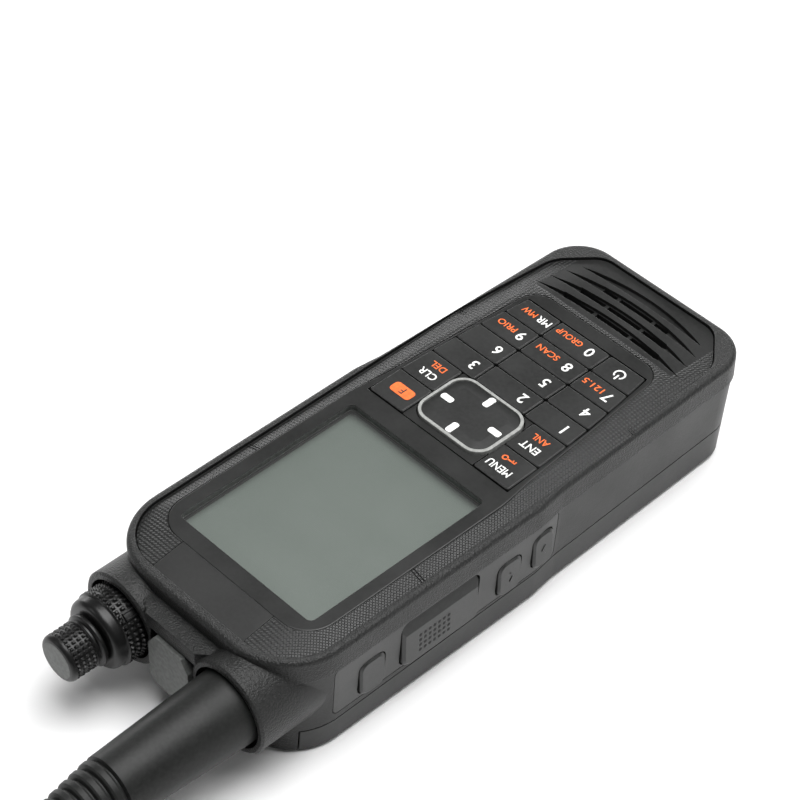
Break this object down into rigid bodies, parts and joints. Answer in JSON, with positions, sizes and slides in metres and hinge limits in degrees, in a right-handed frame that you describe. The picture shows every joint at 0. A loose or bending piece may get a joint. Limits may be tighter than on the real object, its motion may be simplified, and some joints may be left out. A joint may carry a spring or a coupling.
{
  "type": "handheld aviation radio",
  "caption": "Handheld airband radio with a display, number keys, direction pad, side keys, twin top knob, rubber antenna and a battery that forms its back.",
  "frame": {"origin": "centre of the flat back face of the battery, midway between the sides", "axes": "+Z out of the face, +Y towards the antenna, +X to the right seen from the front; the radio lies on its back"},
  "size_m": [0.0586, 0.3262, 0.0316],
  "materials": {
    "case_plastic": "fine speckled grain",
    "frame_plastic": "raised micro diamonds",
    "smooth_plastic": "smooth satin",
    "window": "clear",
    "lcd": "matte grey green",
    "inner_plastic": "moulded",
    "key_plastic": "satin",
    "ring": "light grey satin",
    "key_rubber": "satin rubber",
    "side_key_plastic": "satin",
    "board": "solder mask",
    "shield": "tin plate",
    "chassis_metal": "die cast",
    "speaker_metal": "plated",
    "cloth": "fine woven",
    "connector_metal": "nickel plated",
    "shaft_metal": "turned",
    "antenna_rubber": "smooth satin rubber",
    "knob_plastic": "knurled",
    "cover_rubber": "soft rubber",
    "battery_plastic": "fine grain",
    "cell": "wrapped",
    "brass": "machined",
    "screw_steel": "plated"
  },
  "bodies": {
    "radio": {"front_case": "case_plastic", "rear_chassis": "chassis_metal", "bezel_frame": "frame_plastic", "nameplate": "smooth_plastic", "front_panel": "smooth_plastic", "keypad_bridge": "smooth_plastic", "display_window": "window", "lcd_module": "lcd", "lcd_holder": "inner_plastic", "keypad_mat": "key_rubber", "keypad_board": "board", "side_key_panel": "key_rubber", "side_switch_board": "board", "antenna_connector": "connector_metal", "dual_encoder": "chassis_metal", "accessory_jacks": "inner_plastic", "main_board": "board", "shield_can": "shield", "loudspeaker": "speaker_metal", "speaker_cloth": "cloth", "microphone": "speaker_metal", "contact_block": "inner_plastic", "case_screws": "screw_steel"},
    "key_menu": {"key_menu": "key_plastic"},
    "key_enter": {"key_enter": "key_plastic"},
    "key_function": {"key_function": "key_plastic"},
    "key_clear": {"key_clear": "key_plastic"},
    "key_0": {"key_0": "key_plastic"},
    "key_1": {"key_1": "key_plastic"},
    "key_2": {"key_2": "key_plastic"},
    "key_3": {"key_3": "key_plastic"},
    "key_4": {"key_4": "key_plastic"},
    "key_5": {"key_5": "key_plastic"},
    "key_6": {"key_6": "key_plastic"},
    "key_7": {"key_7": "key_plastic"},
    "key_8": {"key_8": "key_plastic"},
    "key_9": {"key_9": "key_plastic"},
    "key_power": {"key_power": "key_plastic"},
    "key_memory": {"key_memory": "key_plastic"},
    "pad_pivot": {"nav_pivot": "inner_plastic"},
    "direction_pad": {"nav_pad": "key_plastic", "nav_ring": "ring"},
    "ptt_button": {"ptt_button": "side_key_plastic"},
    "light_button": {"light_button": "side_key_plastic"},
    "side_key_down": {"side_key_down": "side_key_plastic"},
    "side_key_up": {"side_key_up": "side_key_plastic"},
    "dial": {"dial_knob": "knob_plastic", "dial_shaft": "shaft_metal"},
    "volume": {"volume_knob": "knob_plastic", "volume_shaft": "shaft_metal"},
    "antenna": {"antenna_base": "antenna_rubber", "antenna_plug": "connector_metal", "antenna_whip": "antenna_rubber"},
    "jack_cover": {"jack_cover": "cover_rubber"},
    "battery": {"battery_case": "battery_plastic", "battery_lid": "battery_plastic", "battery_contacts": "inner_plastic", "battery_cells": "cell", "clip_inserts": "brass"},
    "battery_latch": {"battery_latch": "battery_plastic"}
  },
  "joints": [
    {"name": "key_menu_press", "type": "slide", "parent": "radio", "child": "key_menu", "axis": [0, 0, -1], "range_m": [0, 0.0008], "stiffness_N_per_m": 600},
    {"name": "key_enter_press", "type": "slide", "parent": "radio", "child": "key_enter", "axis": [0, 0, -1], "range_m": [0, 0.0008], "stiffness_N_per_m": 600},
    {"name": "key_function_press", "type": "slide", "parent": "radio", "child": "key_function", "axis": [0, 0, -1], "range_m": [0, 0.0008], "stiffness_N_per_m": 600},
    {"name": "key_clear_press", "type": "slide", "parent": "radio", "child": "key_clear", "axis": [0, 0, -1], "range_m": [0, 0.0008], "stiffness_N_per_m": 600},
    {"name": "key_0_press", "type": "slide", "parent": "radio", "child": "key_0", "axis": [0, 0, -1], "range_m": [0, 0.0008], "stiffness_N_per_m": 600},
    {"name": "key_1_press", "type": "slide", "parent": "radio", "child": "key_1", "axis": [0, 0, -1], "range_m": [0, 0.0008], "stiffness_N_per_m": 600},
    {"name": "key_2_press", "type": "slide", "parent": "radio", "child": "key_2", "axis": [0, 0, -1], "range_m": [0, 0.0008], "stiffness_N_per_m": 600},
    {"name": "key_3_press", "type": "slide", "parent": "radio", "child": "key_3", "axis": [0, 0, -1], "range_m": [0, 0.0008], "stiffness_N_per_m": 600},
    {"name": "key_4_press", "type": "slide", "parent": "radio", "child": "key_4", "axis": [0, 0, -1], "range_m": [0, 0.0008], "stiffness_N_per_m": 600},
    {"name": "key_5_press", "type": "slide", "parent": "radio", "child": "key_5", "axis": [0, 0, -1], "range_m": [0, 0.0008], "stiffness_N_per_m": 600},
    {"name": "key_6_press", "type": "slide", "parent": "radio", "child": "key_6", "axis": [0, 0, -1], "range_m": [0, 0.0008], "stiffness_N_per_m": 600},
    {"name": "key_7_press", "type": "slide", "parent": "radio", "child": "key_7", "axis": [0, 0, -1], "range_m": [0, 0.0008], "stiffness_N_per_m": 600},
    {"name": "key_8_press", "type": "slide", "parent": "radio", "child": "key_8", "axis": [0, 0, -1], "range_m": [0, 0.0008], "stiffness_N_per_m": 600},
    {"name": "key_9_press", "type": "slide", "parent": "radio", "child": "key_9", "axis": [0, 0, -1], "range_m": [0, 0.0008], "stiffness_N_per_m": 600},
    {"name": "key_power_press", "type": "slide", "parent": "radio", "child": "key_power", "axis": [0, 0, -1], "range_m": [0, 0.0008], "stiffness_N_per_m": 600},
    {"name": "key_memory_press", "type": "slide", "parent": "radio", "child": "key_memory", "axis": [0, 0, -1], "range_m": [0, 0.0008], "stiffness_N_per_m": 600},
    {"name": "pad_tilt_up_down", "type": "hinge", "parent": "radio", "child": "pad_pivot", "pos_m": [0, -0.01215, 0.0285], "axis": [1, 0, 0], "range_deg": [-2.4, 2.4], "stiffness_Nm_per_rad": 0.1},
    {"name": "pad_tilt_left_right", "type": "hinge", "parent": "pad_pivot", "child": "direction_pad", "pos_m": [0, -0.01215, 0.0285], "axis": [0, 1, 0], "range_deg": [-2.4, 2.4], "stiffness_Nm_per_rad": 0.1},
    {"name": "ptt_button_press", "type": "slide", "parent": "radio", "child": "ptt_button", "axis": [1, 0, 0], "range_m": [0, 0.0014], "stiffness_N_per_m": 900},
    {"name": "light_button_press", "type": "slide", "parent": "radio", "child": "light_button", "axis": [1, 0, 0], "range_m": [0, 0.001], "stiffness_N_per_m": 700},
    {"name": "side_key_down_press", "type": "slide", "parent": "radio", "child": "side_key_down", "axis": [1, 0, 0], "range_m": [0, 0.001], "stiffness_N_per_m": 700},
    {"name": "side_key_up_press", "type": "slide", "parent": "radio", "child": "side_key_up", "axis": [1, 0, 0], "range_m": [0, 0.001], "stiffness_N_per_m": 700},
    {"name": "dial_turn", "type": "hinge", "parent": "radio", "child": "dial", "pos_m": [0.0166, 0.075, 0.017], "axis": [0, 1, 0], "continuous": true},
    {"name": "volume_turn", "type": "hinge", "parent": "radio", "child": "volume", "pos_m": [0.0166, 0.085, 0.017], "axis": [0, 1, 0], "range_deg": [-135, 135]},
    {"name": "antenna_twist", "type": "hinge", "parent": "radio", "child": "antenna", "pos_m": [-0.017, 0.075, 0.0178], "axis": [0, 1, 0], "range_deg": [0, 90]},
    {"name": "jack_cover_open", "type": "hinge", "parent": "radio", "child": "jack_cover", "pos_m": [0, 0.0682, 0.0084], "axis": [-1, 0, 0], "range_deg": [0, 95]},
    {"name": "battery_lift_off", "type": "slide", "parent": "radio", "child": "battery", "axis": [0, 0, -1], "range_m": [0, 0.03]},
    {"name": "battery_latch_press", "type": "slide", "parent": "battery", "child": "battery_latch", "axis": [0, 1, 0], "range_m": [0, 0.0015], "stiffness_N_per_m": 600}
  ]
}
